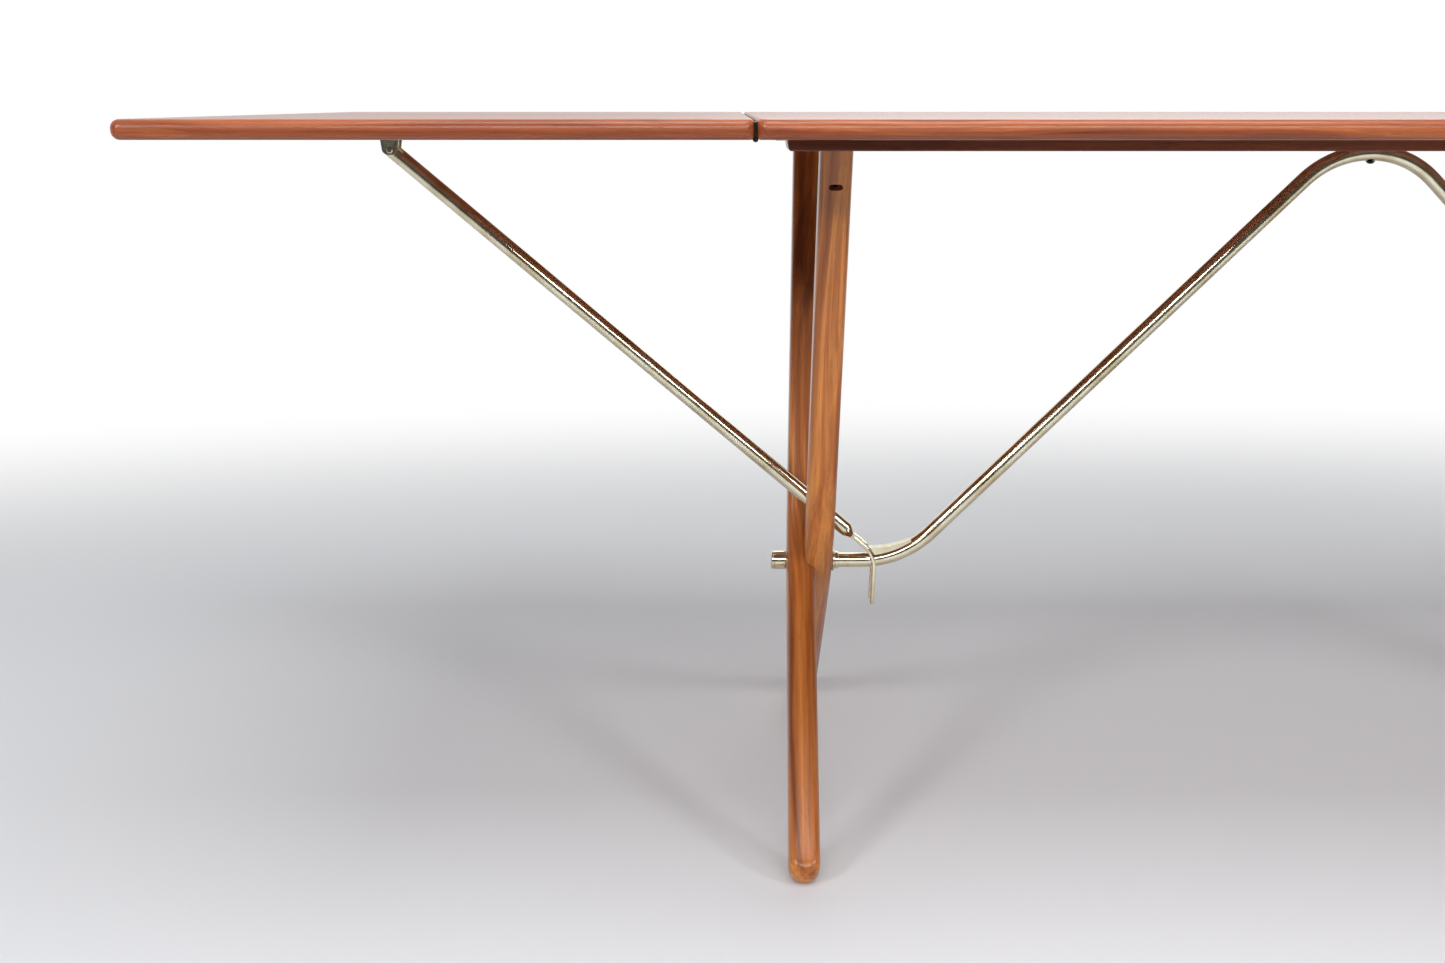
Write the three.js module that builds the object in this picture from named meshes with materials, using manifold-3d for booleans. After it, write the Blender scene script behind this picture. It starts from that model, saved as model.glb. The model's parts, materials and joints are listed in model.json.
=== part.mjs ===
// Drop leaf table: fixed top on two crossed-leg trestles, joined by a bent brass stretcher, and a
// folding leaf at each end that a brass strut with a forked foot props from the stretcher.
// Millimetres, +Z up, +X along the table. The origin is on the floor under the middle of the top.
import * as THREE from 'three';
import { mergeVertices } from 'three/addons/utils/BufferGeometryUtils.js';
import Module from 'manifold-3d';

const wasm = await Module();
wasm.setup();

// ---- driving dimensions ----
const HEIGHT = 720;
const TOP_LENGTH = 1280;
const TOP_WIDTH = 860;
const LEAF_LENGTH = 500;
const LEAF_GAP = 3;
const BOARD = 16;
const BOARD_NOSE = 7;
const BOARD_CORNER = 9;
const BOARD_EASE = 2.5;
const FIT = 0.3;

const RAIL_Y = 205;
const RAIL_WIDTH = 60;
const RAIL_DEPTH = 14;
const RAIL_LENGTH = 1214;
const RAIL_SLANT = 3;
const BATTEN_X = 563;
const BATTEN_WIDTH = 46;

const LEG_THICK = 30;
const LEG_EDGE = 8;
const LEG_WIDE_TOP = 34;
const LEG_WIDE_CROSS = 36;
const LEG_WIDE_FOOT = 32;
const LEG_UPPER_SLOPE = 0.43;
const LEG_LOWER_SLOPE = 1.16;
const LEG_CORNER = new THREE.Vector2(18.1, 260);
const LEG_BLEND = 250;
const LEG_FLAT = 0.5;
const POCKET_DEPTH = 8.5;
const POCKET_WIDE = 13;
const POCKET_TALL = 5.4;
const POCKET_SCREW = 2.4;
const LEG_SCREW = 1.4;
const LEG_SCREW_BITE = 8;
const OUTER_LEG_X = -582.6;
const OUTER_LEG_LEAN = THREE.MathUtils.degToRad(1.5);
const INNER_LEG_X = -564;
const LAP_X = -573.3;

const ROD = 8;
const STRETCHER_Z = 247.3;
const STRETCHER_CORNER_X = -473.4;
const STRETCHER_BEND = 106;
const TUBE_END_X = -541.1;
const SPIGOT = 5;
const SPIGOT_END_X = -607;

const LEAF_PIVOT = new THREE.Vector2(-1007.6, 684.6);
const STRUT_ANGLE = THREE.MathUtils.degToRad(40.35);
const STRUT_TUBE = 622;
const STRAP = 4;
const FORK_NECK = 24.2;
const FORK_BEND = 32;
const FORK_SWEEP = THREE.MathUtils.degToRad(52);
const FORK_TIP_Z = 200.5;
const FORK_WIDTH = 27;
const FORK_SLOT = 17;
const FORK_SOLID = 8;
const CLEVIS_SCREW_X = 17;
const CLEVIS_SCREW = 1.7;
const CLEVIS_SCREW_BITE = 10;

const HINGE_LENGTH = 70;
const HINGE_Y = 385;
const HINGE_PLATE = 1.1;
const HINGE_BARREL = 2.25;
const HINGE_RISE = 0.4;

// ---- derived levels ----
const UNDERSIDE = HEIGHT - BOARD;
const RAIL_TOP = UNDERSIDE - FIT;
const RAIL_UNDER = UNDERSIDE - RAIL_DEPTH;
const LEG_TOP = RAIL_UNDER - FIT;
const PIN_X = -(TOP_LENGTH + LEAF_GAP) / 2;
const PIN_Z = UNDERSIDE + HINGE_RISE;

// ---- materials ----
function finish(color, roughness, metalness) {
  return new THREE.MeshStandardMaterial({ color, roughness, metalness });
}
const teak = () => finish(0xad6d41, 0.42, 0);
const teakDark = () => finish(0x87502f, 0.45, 0);
const brass = () => finish(0xc9bd8c, 0.22, 1);
const steelBlack = () => finish(0x17130f, 0.45, 0.6);

// ---- solids ----
function toSolid(geometry) {
  const bare = geometry.clone();
  bare.deleteAttribute('normal');
  bare.deleteAttribute('uv');
  const merged = mergeVertices(bare, 1e-4);
  const vertProperties = new Float32Array(merged.attributes.position.array);
  const triVerts = new Uint32Array(merged.index.array);
  return new wasm.Manifold(new wasm.Mesh({ numProp: 3, vertProperties, triVerts }));
}

function toGeometry(solid) {
  const { vertProperties, triVerts } = solid.getMesh();
  const geometry = new THREE.BufferGeometry();
  geometry.setAttribute('position', new THREE.BufferAttribute(vertProperties, 3));
  geometry.setIndex(new THREE.BufferAttribute(triVerts, 1));
  return geometry;
}

function join(first, ...others) {
  const whole = others.reduce((sum, next) => sum.add(toSolid(next)), toSolid(first));
  return toGeometry(whole);
}

function cut(first, ...others) {
  const rest = others.reduce((left, next) => left.subtract(toSolid(next)), toSolid(first));
  return toGeometry(rest);
}

function box(x0, x1, y0, y1, z0, z1) {
  const geometry = new THREE.BoxGeometry(x1 - x0, y1 - y0, z1 - z0);
  return geometry.translate((x0 + x1) / 2, (y0 + y1) / 2, (z0 + z1) / 2);
}

// A plain cylinder between two heights along one axis, through the point (u, v) of the other two.
function rodAlong(axis, from, to, radius, u, v, sides = 12) {
  const geometry = new THREE.CylinderGeometry(radius, radius, to - from, sides);
  const middle = (from + to) / 2;
  if (axis === 'x') {
    return geometry.rotateZ(-Math.PI / 2).translate(middle, u, v);
  }
  if (axis === 'y') {
    return geometry.translate(u, middle, v);
  }
  return geometry.rotateX(Math.PI / 2).translate(u, v, middle);
}

// A turned solid: its profile is a list of [radius, height] pairs, and it is turned about the axis.
function turned(axis, profile, u, v, sides = 16) {
  const points = profile.map(([radius, height]) => new THREE.Vector2(radius, height));
  const geometry = new THREE.LatheGeometry(points, sides);
  if (axis === 'x') {
    return geometry.rotateZ(-Math.PI / 2).translate(0, u, v);
  }
  if (axis === 'y') {
    return geometry.translate(u, 0, v);
  }
  return geometry.rotateX(Math.PI / 2).translate(u, v, 0);
}

// An outline drawn in X and Z, extruded along Y about the middle plane.
function slabXZ(shape, width, curveSegments = 6) {
  const geometry = new THREE.ExtrudeGeometry(shape, { depth: width, bevelEnabled: false, curveSegments });
  return geometry.translate(0, 0, -width / 2).rotateX(Math.PI / 2);
}

// ---- boards ----
function roundedRectangle(length, width, corner) {
  const x = length / 2;
  const y = width / 2;
  const shape = new THREE.Shape();
  shape.moveTo(-x + corner, -y);
  shape.lineTo(x - corner, -y);
  shape.absarc(x - corner, -y + corner, corner, -Math.PI / 2, 0);
  shape.lineTo(x, y - corner);
  shape.absarc(x - corner, y - corner, corner, 0, Math.PI / 2);
  shape.lineTo(-x + corner, y);
  shape.absarc(-x + corner, y - corner, corner, Math.PI / 2, Math.PI);
  shape.lineTo(-x, -y + corner);
  shape.absarc(-x + corner, -y + corner, corner, Math.PI, Math.PI * 1.5);
  return shape;
}

function bevelledBoard(length, bevel, bevelSegments) {
  const settings = {
    depth: BOARD - 2 * bevel,
    bevelEnabled: true,
    bevelThickness: bevel,
    bevelSize: bevel,
    bevelOffset: -bevel,
    bevelSegments,
    curveSegments: 3,
  };
  const geometry = new THREE.ExtrudeGeometry(roundedRectangle(length, TOP_WIDTH, BOARD_CORNER), settings);
  return geometry.translate(0, 0, UNDERSIDE + bevel);
}

// A board with rounded edges. A hinged end is cut square: its blank runs on past the end.
function board(length, pastLeft, pastRight) {
  const blank = bevelledBoard(length + pastLeft + pastRight, BOARD_NOSE, 3);
  blank.translate((pastRight - pastLeft) / 2, 0, 0);
  return toGeometry(toSolid(blank).intersect(toSolid(bevelledBoard(length, BOARD_EASE, 1))));
}

// ---- rails and battens ----
function rail() {
  const half = RAIL_LENGTH / 2;
  const shape = new THREE.Shape();
  shape.moveTo(-half, RAIL_UNDER);
  shape.lineTo(half, RAIL_UNDER);
  shape.quadraticCurveTo(half + RAIL_SLANT * 0.8, RAIL_UNDER + 2, half + RAIL_SLANT, RAIL_TOP);
  shape.lineTo(-half - RAIL_SLANT, RAIL_TOP);
  shape.quadraticCurveTo(-half - RAIL_SLANT * 0.8, RAIL_UNDER + 2, -half, RAIL_UNDER);
  return slabXZ(shape, RAIL_WIDTH, 3);
}

function batten(x) {
  const y = RAIL_Y - RAIL_WIDTH / 2 - FIT;
  return box(x - BATTEN_WIDTH / 2, x + BATTEN_WIDTH / 2, -y, y, RAIL_UNDER, RAIL_TOP);
}

// ---- legs ----
// The centreline runs from the foot, up to the crossing and on to the top, in Y and Z.
function legCentreline() {
  const lower = new THREE.Vector2(LEG_LOWER_SLOPE, 1).normalize();
  const upper = new THREE.Vector2(LEG_UPPER_SLOPE, 1).normalize();
  const turn = Math.atan(LEG_LOWER_SLOPE) - Math.atan(LEG_UPPER_SLOPE);
  const tangent = LEG_BLEND * Math.tan(turn / 2);
  const start = LEG_CORNER.clone().addScaledVector(lower, -tangent);
  const centre = new THREE.Vector2(-lower.y, lower.x).multiplyScalar(LEG_BLEND).add(start);
  const points = [];
  const footZ = LEG_WIDE_FOOT / 2 - LEG_FLAT;
  points.push(new THREE.Vector2(start.x - LEG_LOWER_SLOPE * (start.y - footZ), footZ));
  const steps = 5;
  for (let i = 0; i <= steps; i += 1) {
    const arm = start.clone().sub(centre).rotateAround(new THREE.Vector2(), (turn * i) / steps);
    points.push(arm.add(centre));
  }
  const over = LEG_TOP + 2 * LEG_EDGE;
  points.push(new THREE.Vector2(LEG_CORNER.x + LEG_UPPER_SLOPE * (over - LEG_CORNER.y), over));
  return { points, lower, upper };
}

function legHalfWidth(z) {
  const crossing = STRETCHER_Z;
  if (z > crossing) {
    return THREE.MathUtils.mapLinear(z, crossing, LEG_TOP, LEG_WIDE_CROSS, LEG_WIDE_TOP) / 2;
  }
  return THREE.MathUtils.mapLinear(z, crossing, 0, LEG_WIDE_CROSS, LEG_WIDE_FOOT) / 2;
}

function legOutline(extra) {
  const { points, lower } = legCentreline();
  const left = [];
  const right = [];
  points.forEach((point, i) => {
    const before = points[Math.max(i - 1, 0)];
    const after = points[Math.min(i + 1, points.length - 1)];
    const along = after.clone().sub(before).normalize();
    const side = new THREE.Vector2(-along.y, along.x).multiplyScalar(legHalfWidth(point.y) + extra);
    left.push(point.clone().add(side));
    right.push(point.clone().sub(side));
  });
  const foot = points[0];
  const round = [];
  const footSteps = 8;
  for (let i = 1; i < footSteps; i += 1) {
    const arm = new THREE.Vector2(-lower.y, lower.x).multiplyScalar(LEG_WIDE_FOOT / 2 + extra);
    round.push(arm.rotateAround(new THREE.Vector2(), (Math.PI * i) / footSteps).add(foot));
  }
  return new THREE.Shape([...left.reverse(), ...round, ...right]);
}

// Drawn in Y and Z and extruded along X about x = 0. side is 1 with the top at +Y and -1 at -Y.
function legBlank(side, extra, thick, edge) {
  const settings = {
    depth: thick - 2 * edge,
    bevelEnabled: edge > 0,
    bevelThickness: edge,
    bevelSize: edge,
    bevelOffset: -edge,
    bevelSegments: 2,
  };
  const geometry = new THREE.ExtrudeGeometry(legOutline(extra), settings);
  geometry.translate(0, 0, edge - thick / 2);
  const turn = new THREE.Matrix4().makeBasis(
    new THREE.Vector3(0, 1, 0),
    new THREE.Vector3(0, 0, 1),
    new THREE.Vector3(1, 0, 0),
  );
  geometry.applyMatrix4(turn);
  if (side < 0) {
    geometry.rotateZ(Math.PI);
  }
  return geometry;
}

function placeOuter(geometry) {
  geometry.translate(0, 0, -STRETCHER_Z).rotateY(OUTER_LEG_LEAN);
  return geometry.translate(OUTER_LEG_X, 0, STRETCHER_Z);
}

function placeInner(geometry) {
  return geometry.translate(INNER_LEG_X, 0, 0);
}

// Where the screw of a leg stands: in a pocket of the face that looks away from the table.
function legScrewPlace(side, x) {
  const z = LEG_TOP - 33;
  const centre = LEG_CORNER.x + LEG_UPPER_SLOPE * (z - LEG_CORNER.y);
  const face = centre + legHalfWidth(z) * Math.hypot(1, LEG_UPPER_SLOPE);
  return { x, y: side * (face - POCKET_DEPTH + POCKET_SCREW), z, side };
}

function screwHole(x, y, from, to) {
  return rodAlong('z', from, to, LEG_SCREW + 2 * FIT, x, y, 8);
}

// The pocket is an oval slot that lies across the leg, with the screw standing in the middle of it.
function legScrewPocket({ x, y, z, side }) {
  const ends = [y - side * POCKET_SCREW, y + side * 2 * POCKET_DEPTH].sort((a, b) => a - b);
  const straight = (POCKET_WIDE - POCKET_TALL) / 2;
  const slot = box(x - straight, x + straight, ...ends, z - POCKET_TALL / 2, z + POCKET_TALL / 2);
  const rounds = [-straight, straight].map((across) => (
    rodAlong('y', ...ends, POCKET_TALL / 2, x + across, z, 10)
  ));
  return [slot, ...rounds, screwHole(x, y, z, RAIL_UNDER + LEG_SCREW_BITE + 1)];
}

function legScrew({ x, y, z }) {
  const under = z + POCKET_TALL / 2 - FIT;
  const tip = RAIL_UNDER + LEG_SCREW_BITE;
  const head = LEG_SCREW + 0.5;
  const shank = [[LEG_SCREW, under], [LEG_SCREW, tip - 4], [0, tip]];
  return turned('z', [[0, under - 2], [head, under - 2], [head, under], ...shank], x, y, 8);
}

function legSolid(blank, otherBlock, lapKeepsOuter, place) {
  const reach = 60;
  const lapSide = lapKeepsOuter
    ? box(LAP_X - FIT / 2, LAP_X + reach, -reach, reach, STRETCHER_Z - reach, STRETCHER_Z + reach)
    : box(LAP_X - reach, LAP_X + FIT / 2, -reach, reach, STRETCHER_Z - reach, STRETCHER_Z + reach);
  const lap = toSolid(otherBlock).intersect(toSolid(lapSide));
  const bore = rodAlong('x', OUTER_LEG_X - 40, INNER_LEG_X + 40, SPIGOT + FIT, 0, STRETCHER_Z, 16);
  const room = box(OUTER_LEG_X - 80, INNER_LEG_X + 80, -TOP_WIDTH / 2, TOP_WIDTH / 2, 0, LEG_TOP);
  let solid = toSolid(blank).intersect(toSolid(room)).subtract(lap).subtract(toSolid(bore));
  legScrewPocket(place).forEach((pocket) => {
    solid = solid.subtract(toSolid(pocket));
  });
  return toGeometry(solid);
}

const OUTER_SCREW = legScrewPlace(1, OUTER_LEG_X + (LEG_TOP - STRETCHER_Z) * Math.tan(OUTER_LEG_LEAN));
const INNER_SCREW = legScrewPlace(-1, INNER_LEG_X);

function outerLeg() {
  const blank = placeOuter(legBlank(1, 0, LEG_THICK, LEG_EDGE));
  const other = placeInner(legBlank(-1, FIT, LEG_THICK + 20, 0));
  return legSolid(blank, other, true, OUTER_SCREW);
}

function innerLeg() {
  const blank = placeInner(legBlank(-1, 0, LEG_THICK, LEG_EDGE));
  const other = placeOuter(legBlank(1, FIT, LEG_THICK + 20, 0));
  return legSolid(blank, other, false, INNER_SCREW);
}

// ---- stretcher ----
// A path through given stations: an extrusion takes one step from each station to the next.
class StationPath extends THREE.Curve {
  constructor(stations) {
    super();
    this.stations = stations;
  }

  getPoint(t, target = new THREE.Vector3()) {
    const last = this.stations.length - 1;
    const at = THREE.MathUtils.clamp(t, 0, 1) * last;
    const i = Math.min(Math.floor(at), last - 1);
    return target.lerpVectors(this.stations[i], this.stations[i + 1], at - i);
  }

  getPointAt(u, target) {
    return this.getPoint(u, target);
  }

  getTangentAt(u, target) {
    return this.getTangent(u, target);
  }
}

// The stretcher is level at the trestles, bends up at 45 degrees and meets in an arch under the top.
const APEX_Z = RAIL_UNDER - FIT - ROD;
const RISE = STRETCHER_Z - STRETCHER_CORNER_X;
const ARCH = (RISE - APEX_Z) / (Math.SQRT2 - 1);
const BEND_X = STRETCHER_CORNER_X - STRETCHER_BEND * Math.tan(Math.PI / 8);

function stretcherStations(fromX) {
  const half = [new THREE.Vector3(fromX, 0, STRETCHER_Z)];
  const bendSteps = 6;
  for (let i = 0; i <= bendSteps; i += 1) {
    const angle = ((Math.PI / 4) * i) / bendSteps;
    const x = BEND_X + STRETCHER_BEND * Math.sin(angle);
    half.push(new THREE.Vector3(x, 0, STRETCHER_Z + STRETCHER_BEND * (1 - Math.cos(angle))));
  }
  const between = new THREE.Vector3(-ARCH * Math.SQRT1_2, 0, APEX_Z - ARCH * (1 - Math.SQRT1_2));
  half.push(half[half.length - 1].clone().lerp(between, 0.5));
  const archSteps = 5;
  for (let i = 0; i <= archSteps; i += 1) {
    const angle = (-Math.PI / 4) * (1 - i / archSteps);
    half.push(new THREE.Vector3(ARCH * Math.sin(angle), 0, APEX_Z - ARCH * (1 - Math.cos(angle))));
  }
  const mirrored = half.slice(0, -1).reverse().map((p) => new THREE.Vector3(-p.x, 0, p.z));
  return [...half, ...mirrored];
}

function sweep(stations, radius, sides) {
  const section = new THREE.Shape();
  for (let i = 0; i < sides; i += 1) {
    const angle = (2 * Math.PI * (i + 0.5)) / sides;
    const place = [radius * Math.cos(angle), radius * Math.sin(angle)];
    if (i === 0) {
      section.moveTo(...place);
    } else {
      section.lineTo(...place);
    }
  }
  const extrudePath = new StationPath(stations);
  return new THREE.ExtrudeGeometry(section, { steps: stations.length - 1, bevelEnabled: false, extrudePath });
}

function stretcher() {
  const tube = sweep(stretcherStations(TUBE_END_X), ROD, 12);
  const spigot = rodAlong('x', SPIGOT_END_X, TUBE_END_X + 6, SPIGOT, 0, STRETCHER_Z);
  const farSpigot = rodAlong('x', -TUBE_END_X - 6, -SPIGOT_END_X, SPIGOT, 0, STRETCHER_Z);
  const screwHole = rodAlong('z', APEX_Z - 12, APEX_Z + 12, 2.7, 0, 0, 10);
  return cut(join(tube, spigot, farSpigot), screwHole);
}

function archScrew() {
  const head = APEX_Z - ROD - FIT;
  const tip = RAIL_UNDER + 11;
  const dome = [[0, head - 3], [2.4, head - 2.7], [4.2, head - 1.2], [4.6, head]];
  const shank = [[2.3, head], [2.3, tip - 4], [0, tip]];
  return turned('z', [...dome, ...shank], 0, 0, 12);
}

function stopRamp() {
  const shape = new THREE.Shape();
  shape.moveTo(-508.8, 262.2);
  shape.quadraticCurveTo(-482.3, 262.6, -463, 271.6);
  shape.lineTo(-460, 266);
  shape.lineTo(-500, 248);
  shape.lineTo(-503, 253);
  shape.closePath();
  const clearance = sweep(stretcherStations(TUBE_END_X), ROD + FIT, 12);
  return cut(slabXZ(shape, 11, 6), clearance);
}

function capNut() {
  const start = OUTER_LEG_X - LEG_THICK / 2 - 0.7;
  const profile = [
    [SPIGOT + FIT, start], [9, start], [10, start - 1], [10, start - 13.3],
    [9.1, start - 15.6], [7, start - 16.3], [0, start - 16.3], [0, start - 10], [SPIGOT + FIT, start - 10],
    [SPIGOT + FIT, start],
  ];
  return turned('x', profile.reverse(), 0, STRETCHER_Z);
}

function ring(outer, from, to, sides) {
  const inner = SPIGOT + FIT;
  const edge = 0.6;
  const profile = [
    [inner, from], [outer - edge, from], [outer, from + edge], [outer, to - edge], [outer - edge, to],
    [inner, to], [inner, from],
  ];
  return turned('x', profile, 0, STRETCHER_Z, sides);
}

// ---- strut and clevis ----
const ALONG = new THREE.Vector2(Math.cos(STRUT_ANGLE), -Math.sin(STRUT_ANGLE));

function strutTube() {
  const profile = [[0, -ROD]];
  const steps = 4;
  for (let i = 1; i <= steps; i += 1) {
    const angle = ((Math.PI / 2) * i) / steps;
    profile.push([ROD * Math.sin(angle), -ROD * Math.cos(angle)]);
  }
  profile.push([ROD, STRUT_TUBE], [0, STRUT_TUBE]);
  const tube = turned('x', profile, 0, 0, 12);
  tube.rotateY(STRUT_ANGLE).translate(LEAF_PIVOT.x, 0, LEAF_PIVOT.y);
  return cut(tube, rodAlong('y', -12, 12, 2.8, LEAF_PIVOT.x, LEAF_PIVOT.y, 10));
}

// The strap leaves the tube in line with it, bends down in an arc and hangs almost straight.
function strapCentreline() {
  const start = LEAF_PIVOT.clone().addScaledVector(ALONG, STRUT_TUBE + FIT);
  const bendStart = start.clone().addScaledVector(ALONG, FORK_NECK);
  const inward = new THREE.Vector2(ALONG.y, -ALONG.x);
  const centre = bendStart.clone().addScaledVector(inward, FORK_BEND);
  const points = [start];
  const steps = 6;
  for (let i = 0; i <= steps; i += 1) {
    const arm = bendStart.clone().sub(centre).rotateAround(new THREE.Vector2(), (-FORK_SWEEP * i) / steps);
    points.push(arm.add(centre));
  }
  const last = points[points.length - 1];
  const slant = Math.tan(STRUT_ANGLE + FORK_SWEEP - Math.PI / 2);
  points.push(new THREE.Vector2(last.x - slant * (last.y - FORK_TIP_Z), FORK_TIP_Z));
  return points;
}

function strutFork() {
  const points = strapCentreline();
  const upper = [];
  const lower = [];
  points.forEach((point, i) => {
    const before = points[Math.max(i - 1, 0)];
    const after = points[Math.min(i + 1, points.length - 1)];
    const along = after.clone().sub(before).normalize();
    const side = new THREE.Vector2(-along.y, along.x).multiplyScalar(STRAP / 2);
    upper.push(point.clone().add(side));
    lower.push(point.clone().sub(side));
  });
  const strap = slabXZ(new THREE.Shape([...upper, ...lower.reverse()]), FORK_WIDTH);
  const start = points[0];
  const neck = turned('x', [[0, 0], [ROD - 0.3, 0], [ROD - 1.5, 3.5], [STRAP / 2, 9], [0, 9]], 0, 0, 12);
  neck.rotateY(STRUT_ANGLE).translate(start.x, 0, start.y);
  const slotStart = start.clone().addScaledVector(ALONG, FORK_SOLID);
  const slot = rodAlong('z', -20, 20, FORK_SLOT / 2, FORK_SLOT / 2, 0, 16);
  const opening = box(FORK_SLOT / 2, 150, -FORK_SLOT / 2, FORK_SLOT / 2, -120, 60);
  [opening, slot].forEach((piece) => {
    piece.rotateY(STRUT_ANGLE).translate(slotStart.x, 0, slotStart.y);
  });
  return cut(join(strap, neck), opening, slot);
}

function clevisScrewHoles() {
  const top = UNDERSIDE + CLEVIS_SCREW_BITE + 0.5;
  return [-CLEVIS_SCREW_X, CLEVIS_SCREW_X].map((x) => (
    rodAlong('z', UNDERSIDE - 5, top, CLEVIS_SCREW + FIT, LEAF_PIVOT.x + x, 0, 8)
  ));
}

function clevis() {
  const plate = box(LEAF_PIVOT.x - 24, LEAF_PIVOT.x + 24, -12, 12, UNDERSIDE - FIT - 2, UNDERSIDE - FIT);
  const ear = new THREE.Shape();
  const { x, y } = LEAF_PIVOT;
  ear.moveTo(x - 10.5, UNDERSIDE - FIT - 1);
  ear.lineTo(x - 8, y);
  ear.quadraticCurveTo(x - 6.5, y - 5, x, y - 5);
  ear.quadraticCurveTo(x + 6.5, y - 5, x + 8, y);
  ear.lineTo(x + 10.5, UNDERSIDE - FIT - 1);
  const ears = [-1, 1].map((side) => slabXZ(ear, 2, 8).translate(0, side * 9.5, 0));
  const pinHole = rodAlong('y', -14, 14, 2.8, LEAF_PIVOT.x, LEAF_PIVOT.y, 10);
  return cut(join(plate, ...ears), pinHole, ...clevisScrewHoles());
}

function clevisPin() {
  const head = [[0, -12.2], [2.4, -12.2], [3.4, -11.4], [3.4, -10.9]];
  const shank = [[2.5, -10.9], [2.5, 11.6], [2, 12.2], [0, 12.2]];
  return turned('y', [...head, ...shank], LEAF_PIVOT.x, LEAF_PIVOT.y, 12);
}

function clevisScrew(x) {
  const seat = UNDERSIDE - FIT - 2 - FIT;
  const tip = UNDERSIDE + CLEVIS_SCREW_BITE;
  const shank = [[CLEVIS_SCREW, seat], [CLEVIS_SCREW, tip - 3], [0, tip]];
  const profile = [[0, seat - 2], [2.4, seat - 1.8], [3.5, seat], ...shank];
  return turned('z', profile, LEAF_PIVOT.x + x, 0, 10);
}

function leaf() {
  const slab = board(LEAF_LENGTH, 0, 20).translate(PIN_X - LEAF_GAP / 2 - LEAF_LENGTH / 2, 0, 0);
  return cut(slab, ...clevisScrewHoles());
}

// ---- hinges ----
const KNUCKLE = HINGE_LENGTH / 3;

function hingePlate(y, side) {
  const outside = PIN_X + side * (LEAF_GAP / 2 - 0.25);
  const inside = outside - side * HINGE_PLATE;
  const edges = [outside, inside].sort((a, b) => a - b);
  return box(edges[0], edges[1], y - HINGE_LENGTH / 2, y + HINGE_LENGTH / 2, PIN_Z, HEIGHT - 2.5);
}

function knuckleSpans(y, fixed) {
  const start = y - HINGE_LENGTH / 2;
  const spans = [0, 1, 2].map((i) => [start + i * KNUCKLE + FIT / 2, start + (i + 1) * KNUCKLE - FIT / 2]);
  return fixed ? [spans[0], spans[2]] : [spans[1]];
}

function hingeHalf(y, side) {
  const fixed = side > 0;
  const own = knuckleSpans(y, fixed).map(([from, to]) => (
    rodAlong('y', from, to, HINGE_BARREL, PIN_X, PIN_Z)
  ));
  const others = knuckleSpans(y, !fixed).map(([from, to]) => (
    rodAlong('y', from - FIT, to + FIT, HINGE_BARREL + FIT, PIN_X, PIN_Z)
  ));
  const bore = rodAlong('y', y - HINGE_LENGTH, y + HINGE_LENGTH, 1.3, PIN_X, PIN_Z, 8);
  return cut(join(cut(hingePlate(y, side), ...others), ...own), bore);
}

function hingePin(y) {
  return rodAlong('y', y - HINGE_LENGTH / 2 - 0.5, y + HINGE_LENGTH / 2 + 0.5, 1, PIN_X, PIN_Z, 8);
}

// ---- the table ----
const table = new THREE.Group();

function add(parent, name, geometry, material) {
  const mesh = new THREE.Mesh(geometry, material);
  mesh.name = name;
  parent.add(mesh);
  return mesh;
}

add(table, 'main_top', board(TOP_LENGTH, 20, 20), teak());

[['front', -1], ['rear', 1]].forEach(([name, side]) => {
  const holes = [OUTER_SCREW, INNER_SCREW].flatMap((place) => [1, -1].map((end) => (
    screwHole(end * place.x, end * place.y, RAIL_UNDER - 1, RAIL_UNDER + LEG_SCREW_BITE + 1)
  )));
  const bar = rail().translate(0, side * RAIL_Y, 0);
  add(table, `rail_${name}`, cut(bar, ...holes), teakDark());
});

add(table, 'batten_left', batten(-BATTEN_X), teakDark());
add(table, 'batten_right', batten(BATTEN_X), teakDark());
const centreHole = rodAlong('z', RAIL_UNDER - 1, RAIL_UNDER + 12, 2.7, 0, 0, 10);
add(table, 'batten_center', cut(batten(0), centreHole), teakDark());

add(table, 'stretcher', stretcher(), brass());
add(table, 'arch_screw', archScrew(), steelBlack());

// Each end is the left end's solids, turned half a turn about Z for the right end.
['left', 'right'].forEach((end, turn) => {
  const half = new THREE.Group();
  half.rotation.z = Math.PI * turn;
  table.add(half);
  add(half, `leg_${end}_outer`, outerLeg(), teak());
  add(half, `leg_${end}_inner`, innerLeg(), teak());
  add(half, `leg_screw_${end}_outer`, legScrew(OUTER_SCREW), steelBlack());
  add(half, `leg_screw_${end}_inner`, legScrew(INNER_SCREW), steelBlack());
  add(half, `cap_nut_${end}`, capNut(), brass());
  const face = INNER_LEG_X + LEG_THICK / 2 + FIT;
  add(half, `washer_${end}`, ring(12, face, face + 2.5, 18), brass());
  add(half, `collar_${end}`, ring(9.5, face + 2.5 + FIT, TUBE_END_X - FIT, 16), brass());
  add(half, `stop_ramp_${end}`, stopRamp(), brass());

  add(half, `leaf_${end}`, leaf(), teak());
  add(half, `clevis_${end}`, clevis(), brass());
  add(half, `clevis_pin_${end}`, clevisPin(), brass());
  add(half, `clevis_screw_${end}_outer`, clevisScrew(-CLEVIS_SCREW_X), brass());
  add(half, `clevis_screw_${end}_inner`, clevisScrew(CLEVIS_SCREW_X), brass());
  add(half, `strut_tube_${end}`, strutTube(), brass());
  add(half, `strut_fork_${end}`, strutFork(), brass());

  [['front', -HINGE_Y], ['middle', 0], ['rear', HINGE_Y]].forEach(([name, y]) => {
    const at = turn ? -y : y;
    add(half, `hinge_fixed_${end}_${name}`, hingeHalf(at, 1), steelBlack());
    add(half, `hinge_moving_${end}_${name}`, hingeHalf(at, -1), steelBlack());
    add(half, `hinge_pin_${end}_${name}`, hingePin(at), steelBlack());
  });
});

export default table;
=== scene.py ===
import json
import math

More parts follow.
